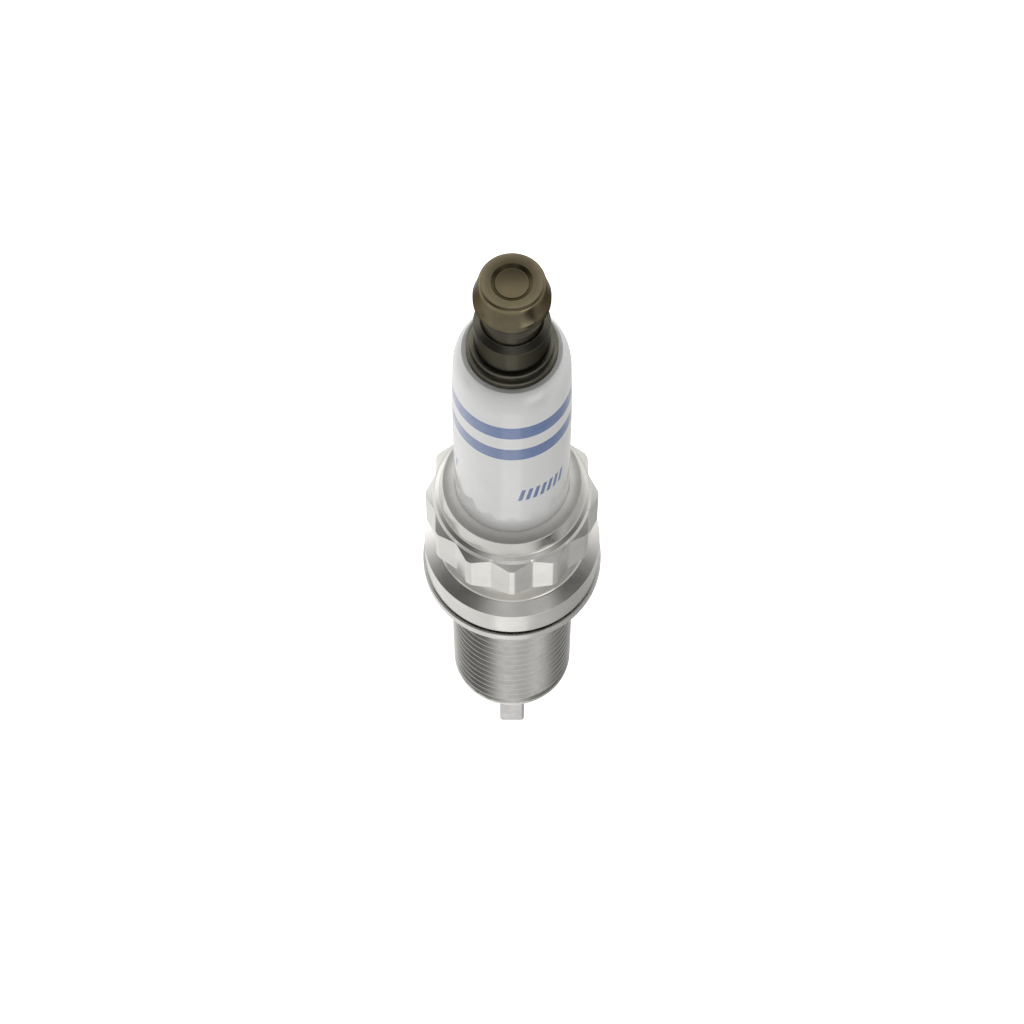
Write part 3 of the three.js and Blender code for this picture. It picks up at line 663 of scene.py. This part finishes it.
def shell():
    """One closed skin: thread, relief neck, flange, waist, drive, crimp lip and the stepped bore."""
    thread_r, land_r, relief, flange = 5.94, 5.93, 5.3, radius("shell")
    pitch, phase = 1.25, 0.25
    thread_top = GASKET_FACE - 0.15
    angles = drive_angles()

    def least(z):
        return land_r - np.maximum(0, z - SHELL_END - 0.55)

    def limit(z):
        chamfer = land_r - 0.12 + (z - SHELL_END)
        run_out = relief + 0.05 + 1.6 * (thread_top - z)
        return np.minimum(np.minimum(thread_r, chamfer), run_out)

    flange_side = rounded(
        [
            (relief, thread_top + 0.05),
            (relief, GASKET_FACE + 2.05, 0.15),
            (flange, GASKET_FACE + 2.05, 0.12),
            (flange, LIP_EDGE - 11.9, 0.08),
            (WAIST_R, LIP_EDGE - 11.05, 0.3),
            (WAIST_R, DRIVE_BOTTOM - 0.5),
        ],
        steps=5,
    )
    washer_low = span("seat_washer")[0]
    lip_shoulder, lip_edge_r, ledge, mouth = 6.7, 6.35, 3.55, 3.9
    lip_and_bore = rounded(
        [
            (LIP_BASE_R + 0.05, DRIVE_TOP + 0.23),
            (LIP_BASE_R, LIP_EDGE - 2.06, 0.08),
            (lip_shoulder, LIP_EDGE - 1.85, 0.14),
            (lip_edge_r, LIP_EDGE, 0.1),
            (COLUMN_R + 0.005, LIP_TOP, 0.02),
            (COLUMN_R + 0.01, COLUMN_FOOT + 0.02),
            (BARREL_R + BORE_GAP, BARREL_TOP + 0.02),
            (BARREL_R + BORE_GAP, BARREL_FOOT - BORE_GAP),
            (TRUNK_R + BORE_GAP, TRUNK_TOP - BORE_GAP),
            (TRUNK_R + BORE_GAP, TRUNK_FOOT - BORE_GAP),
            (LOWER_R + 0.04, LOWER_TOP - BORE_GAP),
            (LOWER_R + 0.04, washer_low + 0.3),
            (ledge, washer_low - 0.05, 0.1),
            (ledge, -9.4, 0.1),
            (mouth, -9.8, 0.1),
            (mouth, SHELL_END + 0.25, 0.05),
            (mouth + 0.2, SHELL_END),
        ],
        steps=5,
    )
    rows = np.concatenate(
        [
            thread_rows(thread_r, pitch, SHELL_END, thread_top, angles, limit, least, phase),
            turned_rows(flange_side, angles),
            drive_rows(angles),
            turned_rows(lip_and_bore, angles),
        ]
    )
    piece = made_piece("steel_shell", rows, closed=True)
    finish_piece(piece, "plug_body", "shell", nickel_paint())


def gasket():
    """Pressed ring, round below and square above; the fold's seam is a groove in the lower face."""
    outer = radius("sealing_gasket")
    hole, face_from, seam, top_from = 5.75, 6.25, 6.85, 6.9
    edge = (GASKET_TOP - GASKET_FACE) / 2
    middle = GASKET_FACE + edge
    outside = [
        (outer - edge * (1 - math.cos(a)), middle + edge * math.sin(a))
        for a in np.linspace(-math.pi / 2, 0, 10)
    ]
    outline = [
        (hole, middle - 0.25, 0.05),
        (face_from, GASKET_FACE, 0.15),
        (seam - 0.1, GASKET_FACE, 0.08),
        (seam, GASKET_FACE + 0.18, 0.05),
        (seam + 0.1, GASKET_FACE, 0.08),
        *outside,
        (outer, GASKET_TOP, 0.08),
        (top_from, GASKET_TOP, 0.1),
        (top_from - 0.3, GASKET_TOP - 0.22, 0.15),
        (hole, middle + 0.25, 0.05),
    ]
    piece = turned("crush_gasket", rounded(outline, closed=True), closed=True)
    finish_piece(piece, "gasket", "sealing_gasket", gasket_paint())


# ---------------------------------------------------------------- firing end


def centre_electrode():
    """Rod with its cone and seating head; the pin stands in a small weld collar."""
    pin_hole, collar, rod, head, neck, core = 0.33, 0.5, 1.25, 1.94, 1.3, 0.85
    cone_foot, head_foot, head_top = 2.03, 2.66, 3.4
    core_end = -21.0
    shoulder = ROD_END + 1.0
    outline = [
        (0, PIN_TOP + 0.03),
        (pin_hole, PIN_TOP + 0.03),
        (pin_hole, ROD_END, 0.01),
        (collar, ROD_END, 0.06),
        (rod, shoulder, 0.12),
        (rod, cone_foot),
        (head, head_foot),
        (head, head_top, 0.05),
        (neck, head_top),
        (neck, ROD_TOP, 0.05),
        (core, ROD_TOP, 0.02),
        (core, core_end),
        (0, core_end - 0.6),
    ]
    piece = turned("firing_rod", rounded(outline), FINE_STEPS)
    finish_piece(piece, "plug_body", "centre_electrode", alloy_paint())


def centre_tip():
    """Fine pin with a small weld bead where it leaves the rod."""
    pin, bead = 0.3, 0.36
    outline = [
        (0, PIN_END),
        (pin, PIN_END, 0.03),
        (pin, ROD_END - 0.1),
        (bead, ROD_END - 0.02, 0.03),
        (pin, ROD_END + 0.03),
        (pin, PIN_TOP),
        (0, PIN_TOP),
    ]
    piece = turned("firing_pin", rounded(outline), FINE_STEPS)
    finish_piece(piece, "plug_body", "centre_tip", noble_paint())


def ground_tip():
    """Disc on the strap, with its wider foot."""
    foot, disc = 0.5, 0.46
    outline = [
        (0, DISC_BOTTOM),
        (foot, DISC_BOTTOM),
        (foot, DISC_BOTTOM + 0.08, 0.03),
        (disc, DISC_BOTTOM + 0.14, 0.03),
        (disc, DISC_TOP, 0.04),
        (0, DISC_TOP),
    ]
    piece = turned("firing_disc", rounded(outline), FINE_STEPS)
    finish_piece(piece, "plug_body", "ground_tip", noble_paint())


def strap_section(half_width, half_thickness, corner):
    """Points round a rectangle with rounded corners, the first repeated at the end."""
    points = []
    for sx, sy, first in ((1, 1, 0), (-1, 1, 90), (-1, -1, 180), (1, -1, 270)):
        for a in np.radians(np.linspace(first, first + 90, 7)):
            x = sx * (half_width - corner) + corner * math.cos(a)
            y = sy * (half_thickness - corner) + corner * math.sin(a)
            points.append((x, y))
    points.append(points[0])
    return np.array(points)


def ground_electrode():
    """J-shaped strap swept from the shell's end face, with its weld flash and its cut tip."""
    low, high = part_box("ground_electrode")
    width = (high.x - low.x) / MM
    thickness, corner = 1.3, 0.32
    flash_size, flash_reach = 0.1, 0.28  # the weld's swelling at the top of the leg
    leg_y = low.y / MM + thickness / 2
    tip_y = high.y / MM
    foot_z = STRAP_LOW + thickness / 2
    bend = 1.4
    stations = [(leg_y, z, 0.0) for z in np.linspace(SHELL_END, foot_z + bend, 24)]
    for a in np.linspace(0, math.pi / 2, 18)[1:]:
        stations.append((leg_y + bend - bend * math.cos(a), foot_z + bend - bend * math.sin(a), a))
    stations += [(y, foot_z, math.pi / 2) for y in np.linspace(leg_y + bend, tip_y - 0.1, 10)[1:]]
    rows = []
    section = strap_section(width / 2, thickness / 2, corner)
    for y, z, a in stations:
        depth = SHELL_END - z
        flash = flash_size * math.exp(-((depth / flash_reach) ** 2)) if a == 0 else 0.0
        grown = section * (1 + flash * np.array([2 / width, 2 / thickness]))
        across, out = grown[:, 0], grown[:, 1]
        rows.append(np.stack([across, y - out * math.cos(a), z - out * math.sin(a)], -1))
    last = rows[-1]
    middle = last.mean(0)
    for push, shrink in ((0.04, 0.975), (0.08, 0.93), (0.1, 0.86), (0.1, 0.0)):
        ring = middle + (last - middle) * shrink
        rows.append(ring + np.array([0, push, 0]))
    first = rows[0]
    rows.insert(0, first.mean(0) + 0 * first)
    piece = made_piece("ground_strap", np.array(rows))
    finish_piece(piece, "plug_body", "ground_electrode", alloy_paint())


# ---------------------------------------------------------------- hidden pieces


def hidden_pieces():
    """The sealed inner pieces keep their CAD shape and get their own finish."""
    glass = seal_paint("seal_glass", (0.05, 0.048, 0.045), (0.3, 0.26, 0.2))
    finishes = {
        "seat_washer": soft_steel_paint(),
        "upper_glass_seal": glass,
        "lower_glass_seal": glass,
        "resistor": seal_paint("carbon_glass", (0.012, 0.012, 0.012), (0.09, 0.09, 0.09)),
        "centre_electrode_core": copper_paint(),
        "ground_electrode_core": copper_paint(),
    }
    for node, material in finishes.items():
        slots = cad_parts[node].data.materials
        slots.clear()
        slots.append(material)


# ---------------------------------------------------------------- studio


def towards(azimuth, elevation):
    """Unit vector; azimuth 0 is the camera's side, -Y, and grows towards +X. Degrees."""
    a, e = math.radians(azimuth), math.radians(elevation)
    return Vector((math.sin(a) * math.cos(e), -math.cos(a) * math.cos(e), math.sin(e)))


# The studio's light: a pale lower half and a dim upper half, blended over these heights of a unit
# direction. The lobes and panels were set so that the reflections match the photo's.
BELOW_LIGHT = 0.84
ABOVE_LIGHT = 0.11
BLEND_LOW, BLEND_HIGH = -0.15, 0.42
DARKEST = 0.03
LIGHT_COLOUR = (1.0, 0.995, 0.98)

# Soft lobes: azimuth, elevation, how tight, and the light they add or, below zero, take away.
STUDIO_LOBES = (
    (-8, 55, 42.0, 0.53),
    (-30, 56, 75.0, 0.36),
    (35, 49, 38.0, 0.60),
    (0, 22, 14.0, 0.60),
    (66, 64, 45.0, 0.42),
    (180, 40, 5.0, 1.25),
    (-124, 18, 12.0, 1.20),
    (124, 18, 12.0, 0.75),
    (-100, -50, 3.0, 0.20),
    (105, -64, 7.0, -0.46),
    (48, -41, 45.0, -0.78),
)

# Flat panels with soft edges: azimuth, elevation, half width, half height, and the same.
STUDIO_PANELS = (
    (-1, -64, 0.15, 0.20, 0.32),
    (36, -20, 0.22, 0.24, 0.90),
    (-78, -27, 0.12, 0.14, -0.70),
)
PANEL_SOFT = 0.03


def studio_light():
    """A world whose light is a pale field with soft bright and dark lobes and panels."""
    world = bpy.data.worlds.new("studio")
    bpy.context.scene.world = world
    world.use_nodes = True
    tree = world.node_tree
    background = tree.nodes["Background"]
    place = tree.nodes.new("ShaderNodeTexCoord")

    def math_node(operation, *values):
        node = tree.nodes.new("ShaderNodeMath")
        node.operation = operation
        for socket, value in zip(node.inputs, values):
            if isinstance(value, bpy.types.NodeSocket):
                tree.links.new(value, socket)
            else:
                socket.default_value = value
        return node.outputs[0]

    split = tree.nodes.new("ShaderNodeSeparateXYZ")
    tree.links.new(place.outputs["Generated"], split.inputs[0])
    blend = tree.nodes.new("ShaderNodeMapRange")
    blend.interpolation_type = "SMOOTHSTEP"
    tree.links.new(split.outputs["Z"], blend.inputs["Value"])
    ends = (BLEND_LOW, BLEND_HIGH, BELOW_LIGHT, ABOVE_LIGHT)
    for socket, value in zip(("From Min", "From Max", "To Min", "To Max"), ends):
        blend.inputs[socket].default_value = value
    total = blend.outputs["Result"]

    def along(direction):
        dot = tree.nodes.new("ShaderNodeVectorMath")
        dot.operation = "DOT_PRODUCT"
        dot.inputs[1].default_value = direction
        tree.links.new(place.outputs["Generated"], dot.inputs[0])
        return dot.outputs["Value"]

    def inside(value, half):
        """1 within a half width of zero, falling softly to 0."""
        off = math_node("SUBTRACT", math_node("ABSOLUTE", value), half)
        node = math_node("MULTIPLY_ADD", off, -1 / PANEL_SOFT, 0.5)
        return math_node("MINIMUM", math_node("MAXIMUM", node, 0.0), 1.0)

    for azimuth, elevation, tight, amount in STUDIO_LOBES:
        off = math_node("MULTIPLY_ADD", along(towards(azimuth, elevation)), tight, -tight)
        total = math_node("ADD", total, math_node("MULTIPLY", math_node("EXPONENT", off), amount))
    for azimuth, elevation, half_width, half_height, amount in STUDIO_PANELS:
        across = inside(along(towards(azimuth + 90, 0)), half_width)
        upward = inside(along(towards(azimuth, elevation + 90)), half_height)
        ahead = math_node("GREATER_THAN", along(towards(azimuth, elevation)), 0.0)
        shape = math_node("MULTIPLY", math_node("MULTIPLY", across, upward), ahead)
        total = math_node("MULTIPLY_ADD", shape, amount, total)
    total = math_node("MAXIMUM", total, DARKEST)
    colour = tree.nodes.new("ShaderNodeCombineColor")
    for socket, share in zip(colour.inputs, LIGHT_COLOUR):
        tree.links.new(math_node("MULTIPLY", total, share), socket)
    tree.links.new(colour.outputs[0], background.inputs["Color"])


def glowing_white(name):
    material = bpy.data.materials.new(name)
    material.use_nodes = True
    shader = material.node_tree.nodes["Principled BSDF"]
    shader.inputs["Base Color"].default_value = (0.9, 0.9, 0.9, 1)
    shader.inputs["Emission Color"].default_value = (1, 1, 1, 1)
    shader.inputs["Emission Strength"].default_value = 1.0
    return material


FLOOR_SIZE, FLOOR_DROP, DOME_RADIUS = 6, 0.12, 2.8  # metres


def backdrop():
    """A pale floor under the plug and a pale dome round it. Only the camera sees them, so the
    plug is lit by the studio alone."""
    white = glowing_white("pale_backdrop")
    bpy.ops.mesh.primitive_plane_add(size=FLOOR_SIZE, location=(0, 0, cad_low.z - FLOOR_DROP))
    floor = bpy.context.object
    floor.name = "floor"
    bpy.ops.mesh.primitive_uv_sphere_add(radius=DOME_RADIUS, segments=64, ring_count=32)
    dome = bpy.context.object
    dome.name = "dome"
    for stage_piece in (floor, dome):
        stage_piece.data.materials.append(white)
        stage_piece.visible_diffuse = False
        stage_piece.visible_glossy = False
        stage_piece.visible_transmission = False
        stage_piece.visible_shadow = False


CAMERA_ELEVATION = 64.35
CAMERA_LENS = 103.85
CAMERA_AIM = Vector((0, 0, 11.0 * MM))
CAMERA_DISTANCE = 274.0 * MM


def camera():
    """The photograph's view: steeply down on the plug, its axis in the middle of the frame."""
    data = bpy.data.cameras.new("camera")
    data.sensor_width = 36
    data.lens = CAMERA_LENS
    data.clip_start, data.clip_end = 0.01, 20
    made = bpy.data.objects.new("camera", data)
    bpy.context.scene.collection.objects.link(made)
    back = towards(0, CAMERA_ELEVATION)
    made.location = CAMERA_AIM + back * CAMERA_DISTANCE
    made.rotation_mode = "QUATERNION"
    made.rotation_quaternion = back.to_track_quat("Z", "Y")
    bpy.context.scene.camera = made


def picture_tone():
    settings = bpy.context.scene.view_settings
    settings.view_transform = "Standard"
    settings.look = "None"


camera()
studio_light()
backdrop()
picture_tone()
terminal_nut()
terminal_stud()
insulator()
shell()
gasket()
centre_electrode()
centre_tip()
ground_tip()
ground_electrode()
hidden_pieces()
